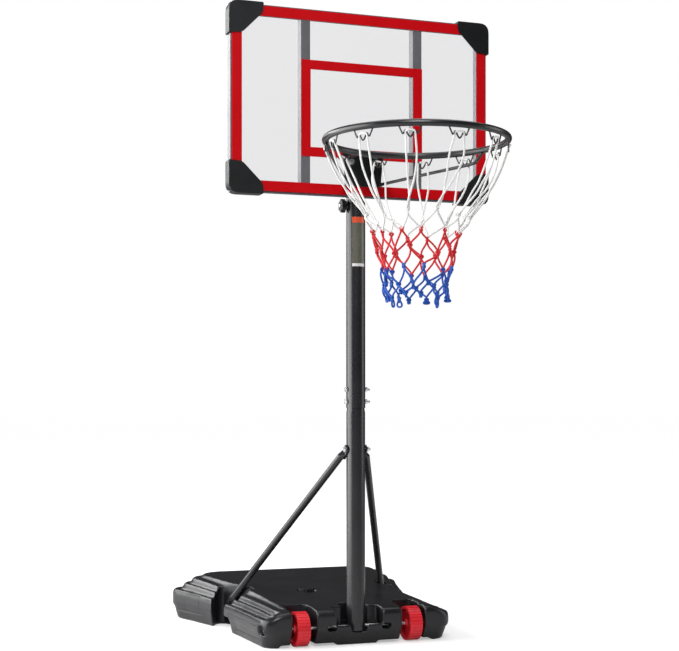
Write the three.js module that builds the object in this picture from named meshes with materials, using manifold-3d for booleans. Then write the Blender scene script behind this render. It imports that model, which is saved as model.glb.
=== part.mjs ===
// Portable height-adjustable basketball hoop: filled base tank on two wheels,
// telescoping pole with two struts, framed clear backboard, rim and net.
// Millimetres. Origin on the floor under the pole axis, +Z up, the court on -Y.

import * as THREE from 'three';
import { mergeVertices } from 'three/addons/utils/BufferGeometryUtils.js';
import Module from 'manifold-3d';

const wasm = await Module();
wasm.setup();

// ---------------------------------------------------------------- dimensions

const GAP = 0.3;

const TANK = {
  front: -34, back: 645, frontRadius: 34, backRadius: 66, radiusGrowth: 0.1, ridgeFade: 46,
  side: [[-34, 262], [225, 272], [385, 290], [540, 332], [645, 368]],
  deckSlope: 0.052, deckHeight: 96,
};
// Skin of the tank from the floor up. Each ring: inset from the side, inset from the front,
// height along the side, height along the front, and the share of the deck's rise
// that the ring takes at the front and at the back.
const TANK_SKIN = [
  [17, 24, 0, 0, 0, 0], [12, 20, 2, 2, 0, 0], [9, 16, 14, 14, 0, 0], [5, 6, 34, 34, 0, 0],
  [1, 1, 41, 40, 0, 0], [0, 0, 46, 46, 0, 0], [0, 0, 63, 60, 0.1, 0.3],
  [1.5, 0, 71, 67, 0.1, 0.3], [5, 0, 75.5, 73, 0.1, 0.3], [10, 0, 76.5, 78, 0.1, 0.3],
  [15, 0.5, 74.5, 82, 0.1, 0.3], [19, 1, 71, 84, 0.15, 0.4], [22, 2, 71.5, 86, 0.2, 0.5],
  [25, 3, 77, 88, 0.2, 0.55], [28, 4.5, 82.5, 90, 0.2, 0.55], [31.5, 6, 85.5, 91, 0.2, 0.55],
  [35, 8, 84, 92, 0.2, 0.55], [38.5, 10, 80, 93, 0.25, 0.6], [41.5, 12, 80, 94, 0.3, 0.7],
  [44.5, 14, 86, 94.5, 0.3, 0.75], [48, 17, 92, 95, 0.3, 0.75], [52.5, 21, 94.5, 95.3, 0.3, 0.75],
  [57, 25, 93, 95.6, 0.4, 0.8], [62, 29, 90, 96, 0.6, 0.9], [68, 33, 90.5, 96, 0.8, 1],
  [75, 38, 96, 96, 1, 1],
];
const WELL = { inner: 118, outer: 183, back: 62, radius: 10 };
const RECESS = {
  lipHeight: 54, lipBack: -26, floor: 35, width: 64, depth: 12, slotWidth: 36, slotDepth: 58,
};
const AXLE_GAP = { inner: 63, outer: 88, back: 8, bottom: 39, top: 54 };
const AXLE_POCKET = { x: 246, half: 13, bottom: 34, top: 58 };
const NOTCH = [[430, 295], [430, 358], [300, 368], [256, 440], [238, 440], [186, 338], [186, 295]];
const LOW_NOTCH = { points: [[236, 262], [430, 262], [430, 300], [236, 300]], top: 44 };
const UNDERSIDE = { lift: 7, inner: 212 };
const FOOT = { x: 56, back: 70 };

const AXLE = { z: 46, r: 4, half: 251.5 };
const WHEEL = { r: 45, width: 34, x: 155.5, bore: 4.06, ribs: 32, ribDepth: 1.2, rim: 8, web: 26, hub: 11 };
const FILLER = { x: -52, y: 252, recess: 27, hole: 17, cap: 22 };

const LOWER_POLE = { r: 24.6, neck: 23, wall: 1.6, bottom: 36, shoulder: [606, 614], top: 700 };
const UPPER_POLE = { r: 25, wall: 1.7, bottom: 617, top: 1169 };
const INNER_POLE = { r: 23, wall: 1.6, bottom: 760, top: 1284 };
const POLE_BOLTS = [634, 666];
const BOLT = { r: 3.5, hole: 3.9, flats: 13, head: 4.5, nut: 5.5 };
const STRUT = { r: 9.5, wall: 1.3, topZ: 509, foot: [232, 405, 66], tab: [4, 22, 42] };
const LOCK = { z: 1146, r: 4, knobR: 18, lobes: 6, inner: -29.5, outer: -43, end: -45.5 };

const PANEL = { half: 350, bottom: 1166.9, top: 1634.4, front: -52, thickness: 3.5 };
const RAIL = { width: 25.5, depth: 20, wall: 1.4, lap: 3.5 };
const BAR = { x: 154.4, width: 25, depth: 28 };
const CORNER = { across: 89, up: 80, flaps: [26, 35], lap: 8.5, front: 2.4, depth: 36, radius: 26 };

const RIM = { r: 215, rod: 8, y: -411.7, z: 1248.4 };
const RIM_PLATE = {
  top: 1280, bottom: 1190, halfTop: 57, halfBottom: 48, thickness: 3,
  tableZ: 1262, tableDrop: 12, tableThickness: 4,
};
const RIM_BOLT = { x: 33, z: 1253 };
const BRACE = { r: 4, points: [[47, -60, 1197], [181, -322, 1216], [192, -335, 1224], [201, -345, 1240]] };
const HOOK = { count: 12, start: 3.5, r: 1.7, half: 25, drop: 32 };
const NET_PROFILE = [
  [203, 1206], [177, 1160], [143, 1105], [116, 1064], [101, 1022], [93, 979], [84, 938], [81, 905],
  [78, 878], [72, 853],
];
const NET_WALL = 5;

// ----------------------------------------------------------------- materials

const paint = (name, color, roughness, metalness) =>
  new THREE.MeshStandardMaterial({ name, color, roughness, metalness });

const MATERIAL = {
  tank: paint('tank_plastic', 0x1c1c1e, 0.45, 0),
  wheel: paint('wheel_plastic', 0xd01824, 0.4, 0),
  pole: paint('pole_paint', 0x26262a, 0.35, 0.3),
  zinc: paint('zinc_steel', 0xb9bcc0, 0.3, 1),
  knob: paint('knob_plastic', 0x101012, 0.5, 0),
  panel: paint('clear_panel', 0xe7e7ea, 0.15, 0),
  frame: paint('frame_paint', 0x58565f, 0.4, 0.3),
  corner: paint('corner_plastic', 0x232426, 0.5, 0),
  rim: paint('rim_paint', 0x2c2d31, 0.4, 0.3),
  net: paint('net_cord', 0xf0f0ee, 0.8, 0),
};

// ------------------------------------------------------------------- helpers

const hoop = new THREE.Group();
hoop.name = 'portable_basketball_hoop';

function place(name, geometry, material) {
  const mesh = new THREE.Mesh(geometry, material);
  mesh.name = name;
  hoop.add(mesh);
  return mesh;
}

function toSolid(geometry) {
  const bare = new THREE.BufferGeometry();
  bare.setAttribute('position', geometry.getAttribute('position').clone());
  if (geometry.index) bare.setIndex(geometry.index.clone());
  const merged = mergeVertices(bare, 1e-4);
  return new wasm.Manifold(new wasm.Mesh({
    numProp: 3,
    vertProperties: new Float32Array(merged.getAttribute('position').array),
    triVerts: new Uint32Array(merged.index.array),
  }));
}

function toGeometry(solid) {
  const mesh = solid.getMesh();
  const geometry = new THREE.BufferGeometry();
  geometry.setAttribute('position', new THREE.BufferAttribute(new Float32Array(mesh.vertProperties), 3));
  geometry.setIndex(new THREE.BufferAttribute(new Uint32Array(mesh.triVerts), 1));
  geometry.computeVertexNormals();
  return geometry;
}

const join = (first, ...rest) => rest.reduce((solid, g) => solid.add(toSolid(g)), toSolid(first));
const cut = (solid, ...tools) => tools.reduce((rest, g) => rest.subtract(toSolid(g)), solid);

// Box between two opposite corners.
function box([x0, y0, z0], [x1, y1, z1]) {
  const geometry = new THREE.BoxGeometry(x1 - x0, y1 - y0, z1 - z0);
  return geometry.translate((x0 + x1) / 2, (y0 + y1) / 2, (z0 + z1) / 2);
}

// Turns a geometry built along +Z so that +Z points along a direction, then moves it.
function aim(geometry, direction, position) {
  const turn = new THREE.Quaternion().setFromUnitVectors(new THREE.Vector3(0, 0, 1), direction);
  return geometry.applyQuaternion(turn).translate(position.x, position.y, position.z);
}

// Round rod, or a hexagonal one with 6 sides, between two points.
function rod(from, to, r, sides = 24) {
  const a = new THREE.Vector3(...from);
  const b = new THREE.Vector3(...to);
  const length = a.distanceTo(b);
  const geometry = new THREE.CylinderGeometry(r, r, length, sides);
  geometry.rotateX(Math.PI / 2);
  return aim(geometry, b.clone().sub(a).normalize(), a.add(b).multiplyScalar(0.5));
}

// Vertical tube with open ends about the Z axis.
function tube({ r, wall, bottom, top }, sides = 36) {
  const profile = [[r - wall, bottom], [r, bottom], [r, top], [r - wall, top], [r - wall, bottom]];
  return lathe(profile, sides);
}

// Solid of revolution about Z; the profile is [radius, height] and closes on itself or the axis.
function lathe(profile, sides) {
  const points = profile.map(([r, z]) => new THREE.Vector2(r, z));
  return new THREE.LatheGeometry(points, sides).rotateX(Math.PI / 2);
}

function polygon(points) {
  return new THREE.Shape(points.map(([x, y]) => new THREE.Vector2(x, y)));
}

// Polygon with every corner rounded by its own radius.
function roundedPolygon(points, radii, segments = 5) {
  const outline = [];
  points.forEach((point, i) => {
    const corner = new THREE.Vector2(...point);
    const before = new THREE.Vector2(...points.at(i - 1)).sub(corner);
    const after = new THREE.Vector2(...points[(i + 1) % points.length]).sub(corner);
    const reach = Math.min(radii[i], before.length() * 0.48, after.length() * 0.48);
    const start = corner.clone().add(before.setLength(reach));
    const end = corner.clone().add(after.setLength(reach));
    const curve = new THREE.QuadraticBezierCurve(start, corner, end);
    outline.push(...(reach > 0 ? curve.getPoints(segments) : [corner]));
  });
  return outline;
}

// Prism of a plan outline between two heights.
function prism(outline, z0, z1) {
  const shape = outline instanceof THREE.Shape ? outline : new THREE.Shape(outline);
  return new THREE.ExtrudeGeometry(shape, { depth: z1 - z0, bevelEnabled: false }).translate(0, 0, z0);
}

// Prism of an outline drawn in X and Z, between two Y planes.
function wallPrism(outline, y0, y1) {
  return prism(outline, -y1, -y0).rotateX(Math.PI / 2);
}

const mirrored = (points, sign) => {
  const turned = points.map(([x, y]) => [x * sign, y]);
  return sign < 0 ? turned.reverse() : turned;
};

function named(sign) {
  return sign < 0 ? 'left' : 'right';
}

// ------------------------------------------------------------------ base tank

// Half-width of the tank at a distance back from the axle.
function sideAt(y) {
  const i = Math.max(1, TANK.side.findIndex(([end]) => y <= end));
  const [y0, x0] = TANK.side[i - 1];
  const [y1, x1] = TANK.side[i];
  return x0 + (x1 - x0) * (y - y0) / (y1 - y0);
}

// Plan outline of the tank, moved in from its sides and from its front.
function tankOutline(inset, frontInset) {
  const front = TANK.front + frontInset;
  const back = TANK.back - inset * 0.4;
  const backRadius = TANK.backRadius + inset * TANK.radiusGrowth;
  const right = [];
  for (let step = 0; step <= 6; step += 1) {
    const angle = -Math.PI / 2 + step * Math.PI / 12;
    const y = front + TANK.frontRadius * (1 + Math.sin(angle));
    right.push([sideAt(y) - inset - TANK.frontRadius * (1 - Math.cos(angle)), y]);
  }
  const straight = back - backRadius - 60;
  for (let step = 0; step < 10; step += 1) {
    const y = 60 + straight * step / 10;
    right.push([sideAt(y) - inset, y]);
  }
  for (let step = 0; step <= 8; step += 1) {
    const angle = step * Math.PI / 16;
    const y = back - backRadius * (1 - Math.sin(angle));
    right.push([sideAt(y) - inset - backRadius * (1 - Math.cos(angle)), y]);
  }
  const left = right.map(([x, y]) => [-x, y]).reverse();
  return [...right, ...left].map(([x, y]) => new THREE.Vector2(x, y));
}

const smooth = (value, low, high) => THREE.MathUtils.smoothstep(value, low, high);

// Height of one ring of the skin: its ridge fades into a plain rounded edge at the front.
function skinHeight([, frontInset, side, frontHeight, shareFront, shareBack], y) {
  const ridge = smooth(y, TANK.front + frontInset, TANK.front + TANK.ridgeFade);
  const share = THREE.MathUtils.lerp(shareFront, shareBack, smooth(y, 250, 600));
  return THREE.MathUtils.lerp(frontHeight, side, ridge) + share * TANK.deckSlope * (y - TANK.front);
}

// The moulded skin: one extrusion whose layers are drawn in to each ring of TANK_SKIN.
function tankSkin() {
  const rings = TANK_SKIN.map(([inset, frontInset]) => tankOutline(inset, frontInset));
  const layers = rings.length - 1;
  const options = { depth: layers, steps: layers, bevelEnabled: false };
  const geometry = new THREE.ExtrudeGeometry(new THREE.Shape(rings[0]), options);
  const position = geometry.getAttribute('position');
  for (let i = 0; i < position.count; i += 1) {
    const layer = Math.round(position.getZ(i));
    const [x, y] = [position.getX(i), position.getY(i)];
    const at = rings[0].findIndex((p) => Math.hypot(p.x - x, p.y - y) < 0.01);
    const point = rings[layer][at];
    position.setXYZ(i, point.x, point.y, skinHeight(TANK_SKIN[layer], point.y));
  }
  return geometry;
}

// Foot of a strut: where its bolt sits and which way the bolt points, out of the tank.
function strutLine(sign) {
  const top = new THREE.Vector3(sign * (LOWER_POLE.r + GAP + STRUT.tab[0] / 2), 0, STRUT.topZ);
  const foot = new THREE.Vector3(sign * STRUT.foot[0], STRUT.foot[1], STRUT.foot[2]);
  const along = foot.clone().sub(top).normalize();
  const outward = new THREE.Vector3().crossVectors(along, new THREE.Vector3(0, 0, 1));
  outward.normalize().multiplyScalar(sign * Math.sign(outward.x));
  return { top, foot, along, outward };
}

const pointOn = (line, distance) => line.foot.clone().addScaledVector(line.outward, distance).toArray();

function baseTank() {
  let solid = toSolid(tankSkin());
  for (const sign of [-1, 1]) {
    const well = [[WELL.inner, -90], [WELL.outer, -90], [WELL.outer, WELL.back], [WELL.inner, WELL.back]];
    const gap = [sign * AXLE_GAP.inner, sign * AXLE_GAP.outer].sort((a, b) => a - b);
    const pocket = [sign * AXLE_POCKET.x, sign * 400].sort((a, b) => a - b);
    solid = cut(
      solid,
      box([gap[0], -90, AXLE_GAP.bottom], [gap[1], AXLE_GAP.back, AXLE_GAP.top]),
      box([pocket[0], -AXLE_POCKET.half, AXLE_POCKET.bottom], [pocket[1], AXLE_POCKET.half, AXLE_POCKET.top]),
      prism(roundedPolygon(mirrored(well, sign), well.map(() => WELL.radius)), -20, 220),
      prism(roundedPolygon(mirrored(NOTCH, sign), NOTCH.map(() => 12)), -20, 220),
      prism(roundedPolygon(mirrored(LOW_NOTCH.points, sign), [8, 8, 8, 8]), -20, LOW_NOTCH.top),
    );
    const line = strutLine(sign);
    solid = solid.add(toSolid(rod(pointOn(line, -24), pointOn(line, -2.4), 13)));
    solid = cut(solid, rod(pointOn(line, -30), pointOn(line, 5), BOLT.hole, 16));
  }
  const { width, slotWidth } = RECESS;
  solid = cut(
    solid,
    box([-width, -90, RECESS.lipHeight], [width, RECESS.depth, 220]),
    box([-width, RECESS.lipBack, RECESS.floor], [width, RECESS.depth, 220]),
    box([-slotWidth, RECESS.depth - 1, RECESS.floor], [slotWidth, RECESS.slotDepth, 220]),
    wallPrism(polygon([[-17, 33], [17, 33], [29, 60], [-29, 60]]), -90, RECESS.lipBack + 5),
    rod([-400, 0, AXLE.z], [400, 0, AXLE.z], AXLE.r + GAP),
  );
  const relief = toSolid(box([-UNDERSIDE.inner, -90, -10], [UNDERSIDE.inner, 800, UNDERSIDE.lift]));
  solid = solid.subtract(cut(relief, box([-FOOT.x, -100, -20], [FOOT.x, FOOT.back, 20])));
  const deckAtFiller = TANK.deckHeight + TANK.deckSlope * (FILLER.y - TANK.front);
  const { x, y } = FILLER;
  solid = cut(
    solid,
    rod([x, y, deckAtFiller - 6], [x, y, 220], FILLER.recess, 40),
    rod([x, y, deckAtFiller - 44], [x, y, 220], FILLER.hole, 32),
  );
  return { solid, deckAtFiller };
}

const tank = baseTank();
place('base_tank', toGeometry(tank.solid), MATERIAL.tank);

// Screw cap standing on the floor of its recess, with finger ribs round the edge.
function fillerCap() {
  const floor = tank.deckAtFiller - 6 + GAP;
  const outline = [];
  for (let i = 0; i < 64; i += 1) {
    const angle = i * Math.PI / 32;
    const r = FILLER.cap - (i % 4 < 2 ? 0 : 1.2);
    outline.push([FILLER.x + r * Math.cos(angle), FILLER.y + r * Math.sin(angle)]);
  }
  const { x, y } = FILLER;
  const plug = rod([x, y, floor - 14], [x, y, floor + 2], FILLER.hole - GAP, 32);
  return join(prism(polygon(outline), floor, floor + 11), plug);
}

place('filler_cap', toGeometry(fillerCap()), MATERIAL.knob);

// -------------------------------------------------------------- axle and wheels

place('axle_rod', rod([-AXLE.half, 0, AXLE.z], [AXLE.half, 0, AXLE.z], AXLE.r, 32), MATERIAL.zinc);

// Push-on cap over each end of the axle.
function axleCap(sign) {
  const inner = AXLE_POCKET.x + GAP;
  const bore = AXLE.r + GAP;
  const profile = [[bore, 0], [9, 0], [9, 1.5], [7, 4.5], [0, 8], [0, 6.5], [bore, 6], [bore, 0]];
  const geometry = lathe(profile, 24);
  return aim(geometry, new THREE.Vector3(sign, 0, 0), new THREE.Vector3(sign * inner, 0, AXLE.z));
}

// Moulded wheel along X: ribbed tread, dished sides, hub and one bore.
function wheel() {
  const tread = [];
  for (let i = 0; i < WHEEL.ribs; i += 1) {
    const pitch = 2 * Math.PI / WHEEL.ribs;
    [[0.04, 1], [0.5, 1], [0.58, 0], [0.96, 0]].forEach(([share, high]) => {
      const r = WHEEL.r - (high ? 0 : WHEEL.ribDepth);
      tread.push([r * Math.cos((i + share) * pitch), r * Math.sin((i + share) * pitch)]);
    });
  }
  const half = WHEEL.width / 2;
  let solid = toSolid(prism(polygon(tread), -half, half));
  for (const side of [-1, 1]) {
    const inner = WHEEL.web / 2;
    const outer = WHEEL.r - WHEEL.rim;
    const profile = [[WHEEL.hub, inner], [outer, inner], [outer + 1, half + 2], [WHEEL.hub - 0.5, half + 2]];
    const dish = lathe([...profile, profile[0]], 32);
    solid = cut(solid, side < 0 ? dish.rotateX(Math.PI) : dish);
  }
  return cut(solid, rod([0, 0, -40], [0, 0, 40], WHEEL.bore, 48));
}

for (const sign of [-1, 1]) {
  place(`axle_cap_${named(sign)}`, axleCap(sign), MATERIAL.zinc);
  const mesh = place(`wheel_${named(sign)}`, toGeometry(wheel()), MATERIAL.wheel);
  mesh.rotation.y = Math.PI / 2;
  mesh.position.set(sign * WHEEL.x, 0, AXLE.z);
}

// ------------------------------------------------------------------------ pole

// Hex head and shank along +X, head under the start.
function boltAlongX(start, end, y, z) {
  const head = rod([start - BOLT.head, y, z], [start, y, z], BOLT.flats / Math.sqrt(3), 6);
  return toGeometry(join(head, rod([start - 1, y, z], [end, y, z], BOLT.r, 16)));
}

function nutAlongX(start, y, z) {
  const nut = toSolid(rod([start, y, z], [start + BOLT.nut, y, z], BOLT.flats / Math.sqrt(3), 6));
  return toGeometry(cut(nut, rod([start - 2, y, z], [start + BOLT.nut + 2, y, z], BOLT.r + GAP, 16)));
}

const crossHole = (z, r = BOLT.hole) => rod([-60, 0, z], [60, 0, z], r, 12);

const lowerHoles = [...POLE_BOLTS, STRUT.topZ].map((z) => crossHole(z));

// Lower pole, drawn down to a neck where it enters the upper one.
function lowerPole() {
  const { r, neck, wall, bottom, shoulder, top } = LOWER_POLE;
  const outer = [[r, bottom], [r, shoulder[0]], [neck, shoulder[1]], [neck, top]];
  const inner = outer.map(([radius, z]) => [radius - wall, z]).reverse();
  const body = toSolid(lathe([...outer, ...inner, outer[0]], 36));
  return cut(body, ...lowerHoles, crossHole(AXLE.z, AXLE.r + GAP));
}

place('lower_pole', toGeometry(lowerPole()), MATERIAL.pole);

// Upper pole with the welded boss that the clamp screw runs through.
function upperPole() {
  const boss = toSolid(rod([-UPPER_POLE.r - 4, 0, LOCK.z], [-UPPER_POLE.r + 1.2, 0, LOCK.z], 9, 24));
  const solid = toSolid(tube(UPPER_POLE)).add(boss);
  const screwHole = rod([-60, 0, LOCK.z], [0, 0, LOCK.z], LOCK.r + GAP, 20);
  return cut(solid, ...POLE_BOLTS.map((z) => crossHole(z)), screwHole);
}

place('upper_pole', toGeometry(upperPole()), MATERIAL.pole);

POLE_BOLTS.forEach((z, i) => {
  const level = ['lower', 'upper'][i];
  const reach = UPPER_POLE.r + GAP;
  place(`pole_bolt_${level}`, boltAlongX(-reach, reach + BOLT.nut + 8, 0, z), MATERIAL.zinc);
  place(`pole_nut_${level}`, nutAlongX(reach, 0, z), MATERIAL.zinc);
});

// ---------------------------------------------------------------------- struts

// Tab flattened out of a strut's end: thickness along one direction, length along another.
function strutTab(centre, thicknessWay, lengthWay) {
  const [thickness, width, length] = STRUT.tab;
  const third = new THREE.Vector3().crossVectors(lengthWay, thicknessWay).normalize();
  const basis = new THREE.Matrix4().makeBasis(thicknessWay, third, lengthWay).setPosition(centre);
  const outline = roundedPolygon([[-width / 2, -length / 2], [width / 2, -length / 2],
    [width / 2, length / 2], [-width / 2, length / 2]], [10, 10, 10, 10]);
  const plate = prism(outline, -thickness / 2, thickness / 2);
  plate.applyMatrix4(new THREE.Matrix4().makeBasis(
    new THREE.Vector3(0, 1, 0), new THREE.Vector3(0, 0, 1), new THREE.Vector3(1, 0, 0)));
  return plate.applyMatrix4(basis);
}

// Tube squeezed flat: the solid between a round end of the tube and a slice of its tab.
function squeezedEnd(start, along, tabSlice, sideways, downPole) {
  const [thickness, width] = STRUT.tab;
  const third = new THREE.Vector3().crossVectors(downPole, sideways).normalize();
  const basis = new THREE.Matrix4().makeBasis(sideways, third, downPole).setPosition(tabSlice);
  const slice = box([-thickness / 2, -width / 2, -1], [thickness / 2, width / 2, 1]).applyMatrix4(basis);
  const disc = rod(start.toArray(), start.clone().addScaledVector(along, 1).toArray(), STRUT.r, 28);
  return wasm.Manifold.hull([toSolid(slice), toSolid(disc)]);
}

function strut(sign) {
  const line = strutLine(sign);
  const { top, foot, along, outward } = line;
  const start = top.clone().addScaledVector(along, 26);
  const length = top.distanceTo(foot) - 46;
  const inner = STRUT.r - STRUT.wall;
  const profile = [[inner, 0], [STRUT.r, 0], [STRUT.r, length], [inner, length]];
  const pipe = aim(lathe([...profile, profile[0]], 28), along, start);
  const sideways = new THREE.Vector3(1, 0, 0);
  const downPole = new THREE.Vector3(0, along.y, along.z).normalize();
  const reach = STRUT.tab[2] / 2 - 11;
  const topTab = strutTab(top.clone().addScaledVector(downPole, reach), sideways, downPole);
  const footTab = strutTab(foot.clone().addScaledVector(along, -reach), outward, along);
  const topHole = rod([-60, 0, STRUT.topZ], [60, 0, STRUT.topZ], BOLT.hole, 16);
  const footHole = rod(pointOn(line, -12), pointOn(line, 12), BOLT.hole, 16);
  const tabSlice = top.clone().addScaledVector(downPole, 12);
  const neck = squeezedEnd(start, along, tabSlice, sideways, downPole);
  return cut(join(pipe, topTab, footTab).add(neck), topHole, footHole);
}

// Bolt through a strut's foot into the moulded boss of the tank.
function strutFootBolt(sign) {
  const line = strutLine(sign);
  const face = STRUT.tab[0] / 2 + GAP;
  const head = rod(pointOn(line, face), pointOn(line, face + BOLT.head), BOLT.flats / Math.sqrt(3), 6);
  return join(head, rod(pointOn(line, -22), pointOn(line, face + 1), BOLT.r, 16));
}

for (const sign of [-1, 1]) {
  place(`strut_${named(sign)}`, toGeometry(strut(sign)), MATERIAL.pole);
  place(`strut_foot_bolt_${named(sign)}`, toGeometry(strutFootBolt(sign)), MATERIAL.pole);
}
const strutFace = LOWER_POLE.r + GAP + STRUT.tab[0] + GAP;
place('strut_top_bolt', boltAlongX(-strutFace, strutFace + BOLT.nut + 6, 0, STRUT.topZ), MATERIAL.zinc);
place('strut_top_nut', nutAlongX(strutFace, 0, STRUT.topZ), MATERIAL.zinc);

// ------------------------------------------------------------------ clamp knob

// Lobed knob along X with a blind socket for its screw.
function lockKnob() {
  const outline = [];
  for (let i = 0; i < 48; i += 1) {
    const angle = i * Math.PI / 24;
    const r = LOCK.knobR - 1.6 + 1.6 * Math.cos(LOCK.lobes * angle);
    outline.push([r * Math.cos(angle), r * Math.sin(angle)]);
  }
  const depth = LOCK.inner - LOCK.outer;
  const bevel = { bevelThickness: 1.5, bevelSize: 1.5, bevelOffset: -1.5, bevelSegments: 1 };
  const options = { depth: depth - 3, ...bevel };
  const body = new THREE.ExtrudeGeometry(polygon(outline), options).translate(0, 0, 1.5);
  body.rotateY(Math.PI / 2).translate(LOCK.outer, 0, LOCK.z);
  return cut(toSolid(body), rod([-60, 0, LOCK.z], [0, 0, LOCK.z], LOCK.r + GAP, 20));
}

place('lock_knob', toGeometry(lockKnob()), MATERIAL.knob);
const screwTip = -(INNER_POLE.r + GAP);
place('lock_screw', rod([LOCK.end, 0, LOCK.z], [screwTip, 0, LOCK.z], LOCK.r, 20), MATERIAL.zinc);

// --------------------------------------------------- sliding pole and its bracket

const BRACKET = { half: 40, bottom: 1196, top: 1278, plate: 3, flange: 3, back: 14, bolts: [1216, 1262] };

const innerHoles = BRACKET.bolts.map((z) => crossHole(z));
place('inner_pole', toGeometry(cut(toSolid(tube(INNER_POLE)), ...innerHoles)), MATERIAL.pole);

const capTop = INNER_POLE.top + GAP;
const plugRadius = INNER_POLE.r - INNER_POLE.wall - GAP;
const capPlug = rod([0, 0, INNER_POLE.top - 12], [0, 0, capTop + 1], plugRadius, 32);
const capDisc = rod([0, 0, capTop], [0, 0, capTop + 3], INNER_POLE.r, 32);
place('pole_top_cap', toGeometry(join(capDisc, capPlug)), MATERIAL.knob);

const rimHole = (x) => rod([x, -90, RIM_BOLT.z], [x, -20, RIM_BOLT.z], BOLT.hole, 16);
const rimHoles = [rimHole(-RIM_BOLT.x), rimHole(RIM_BOLT.x)];
const panelBack = PANEL.front + PANEL.thickness + GAP;
const bracketFace = panelBack + BRACKET.plate;

// Folded bracket: a plate behind the panel and two flanges that grip the inner pole.
function rearBracket() {
  const { half, bottom, top, flange, back } = BRACKET;
  const inner = INNER_POLE.r + GAP + 0.1;
  const plate = box([-half, panelBack, bottom], [half, bracketFace, top]);
  const flanges = [-1, 1].map((sign) => {
    const faces = [sign * inner, sign * (inner + flange)].sort((a, b) => a - b);
    return box([faces[0], bracketFace - 1, bottom], [faces[1], back, top]);
  });
  return cut(join(plate, ...flanges), ...rimHoles, ...BRACKET.bolts.map((z) => crossHole(z)));
}

place('rear_bracket', toGeometry(rearBracket()), MATERIAL.pole);
BRACKET.bolts.forEach((z, i) => {
  const level = ['lower', 'upper'][i];
  const reach = INNER_POLE.r + GAP + 0.1 + BRACKET.flange + GAP;
  place(`bracket_bolt_${level}`, boltAlongX(-reach, reach + BOLT.nut + 4, 0, z), MATERIAL.zinc);
  place(`bracket_nut_${level}`, nutAlongX(reach, 0, z), MATERIAL.zinc);
});

// ------------------------------------------------------------------- backboard

const { half, bottom, top, front } = PANEL;
const sheet = toSolid(box([-half, front, bottom], [half, front + PANEL.thickness, top]));
place('board_panel', toGeometry(cut(sheet, ...rimHoles)), MATERIAL.panel);

const railBack = panelBack + RAIL.depth;
const barBack = panelBack + BAR.depth;
const frameHalf = half + RAIL.lap;
const frameBottom = bottom - RAIL.lap;
const frameTop = top + RAIL.lap;

// Square tube between two corners, open at both ends along one axis.
function squareTube(low, high, axis) {
  const grow = [0, 1, 2].map((i) => (i === axis ? -5 : RAIL.wall));
  const hollow = box(low.map((v, i) => v + grow[i]), high.map((v, i) => v - grow[i]));
  return toGeometry(cut(toSolid(box(low, high)), hollow));
}

const innerBottom = frameBottom + RAIL.width;
const innerTop = frameTop - RAIL.width;
const topRail = squareTube([-frameHalf, panelBack, innerTop], [frameHalf, railBack, frameTop], 0);
const bottomRail = squareTube([-frameHalf, panelBack, frameBottom], [frameHalf, railBack, innerBottom], 0);
place('frame_rail_top', topRail, MATERIAL.frame);
place('frame_rail_bottom', bottomRail, MATERIAL.frame);

for (const sign of [-1, 1]) {
  const rail = [sign * frameHalf, sign * (frameHalf - RAIL.width)].sort((a, b) => a - b);
  const bar = [sign * BAR.x - BAR.width / 2, sign * BAR.x + BAR.width / 2];
  [['frame_rail', rail], ['board_bar', bar]].forEach(([name, [x0, x1]]) => {
    const geometry = squareTube([x0, panelBack, innerBottom + GAP], [x1, barBack, innerTop - GAP], 2);
    place(`${name}_${named(sign)}`, geometry, MATERIAL.frame);
  });
}

// Corner guard: a cut-off square in front of the panel, wrapped round the frame's edge.
function cornerCap(sx, sz) {
  const { across, up, flaps, lap, radius, depth } = CORNER;
  const cornerX = half + lap;
  const cornerZ = sz > 0 ? top + lap : bottom - lap;
  const at = ([u, v]) => [sx * (cornerX - u), cornerZ - sz * v];
  const points = [[0, 0], [across + 2, 0], [across, flaps[0]], [flaps[1], up], [0, up + 3]].map(at);
  const radii = [radius, 4, 8, 8, 4];
  const flip = sx * sz < 0;
  const outline = flip ? roundedPolygon(points.reverse(), radii.reverse()) : roundedPolygon(points, radii);
  const shell = wallPrism(outline, front - GAP - CORNER.front, front - GAP - CORNER.front + depth);
  const pocket = box(
    [-frameHalf - GAP, front - GAP, frameBottom - GAP],
    [frameHalf + GAP, front + 60, frameTop + GAP],
  );
  return cut(toSolid(shell), pocket);
}

for (const sx of [-1, 1]) {
  for (const sz of [-1, 1]) {
    const name = `corner_cap_${sz > 0 ? 'top' : 'bottom'}_${named(sx)}`;
    place(name, toGeometry(cornerCap(sx, sz)), MATERIAL.corner);
  }
}

// ------------------------------------------------------------------ rim and net

const plateBack = front - GAP;
const plateFront = plateBack - RIM_PLATE.thickness;

// Bracket of the rim: bolted plate with a table that runs out over the ring and slopes down to it.
function rimBracket() {
  const { halfTop, halfBottom, tableZ, tableDrop, tableThickness } = RIM_PLATE;
  const outline = roundedPolygon([[-halfBottom, RIM_PLATE.bottom], [halfBottom, RIM_PLATE.bottom],
    [halfTop, RIM_PLATE.top], [-halfTop, RIM_PLATE.top]], [8, 8, 6, 6]);
  const plate = wallPrism(outline, plateFront, plateBack);
  const reach = RIM.y + RIM.r + RIM.rod + GAP;
  const root = plateFront + 1;
  const table = prism(polygon([[-28, reach], [28, reach], [50, root], [-50, root]]), 0, tableThickness);
  const slope = new THREE.Matrix4();
  slope.elements[6] = tableDrop / (root - reach);
  table.translate(0, -root, 0).applyMatrix4(slope).translate(0, root, tableZ);
  return cut(join(plate, table), ...rimHoles);
}

place('rim_bracket', toGeometry(rimBracket()), MATERIAL.rim);

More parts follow.
